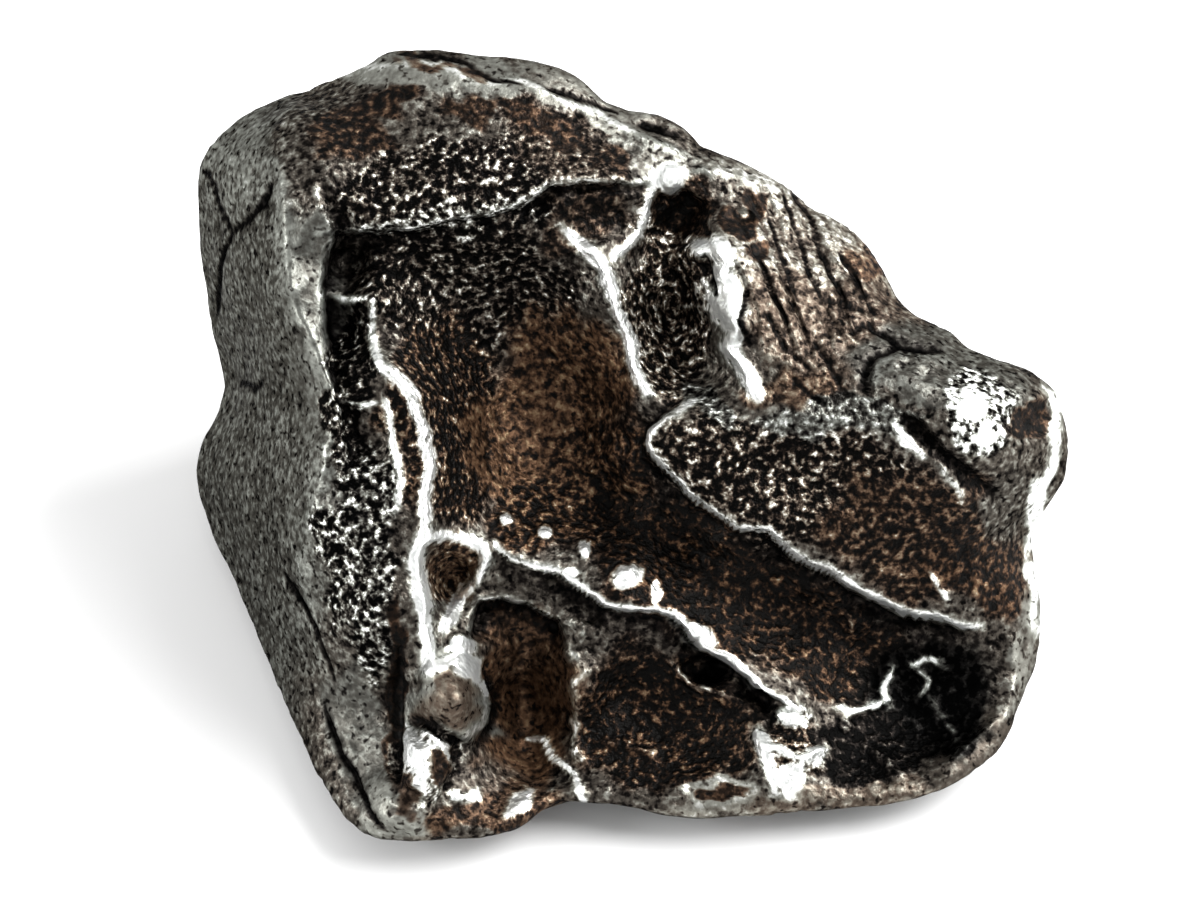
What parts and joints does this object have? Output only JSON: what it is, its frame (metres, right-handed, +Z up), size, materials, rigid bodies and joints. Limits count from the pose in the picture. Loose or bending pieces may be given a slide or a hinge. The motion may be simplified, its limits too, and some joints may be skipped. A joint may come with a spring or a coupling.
{
  "type": "iron meteorite",
  "caption": "Small natural iron meteorite, one solid lump with sharp ridges, hollows, cracks and a rough broken face, lying on its flattest side.",
  "frame": {"origin": "centre of the bounding box in plan, on the surface that the stone rests on", "axes": "+Z up, +X along the longest extent to the viewer's right, -Y toward the viewer of the broken face"},
  "size_m": [0.0502, 0.039, 0.0285],
  "materials": {
    "weathered_iron": "weathered, satin to bright on the ridges, brown oxide in the hollows"
  },
  "bodies": {
    "root": {"meteorite": "weathered_iron"}
  },
  "joints": []
}
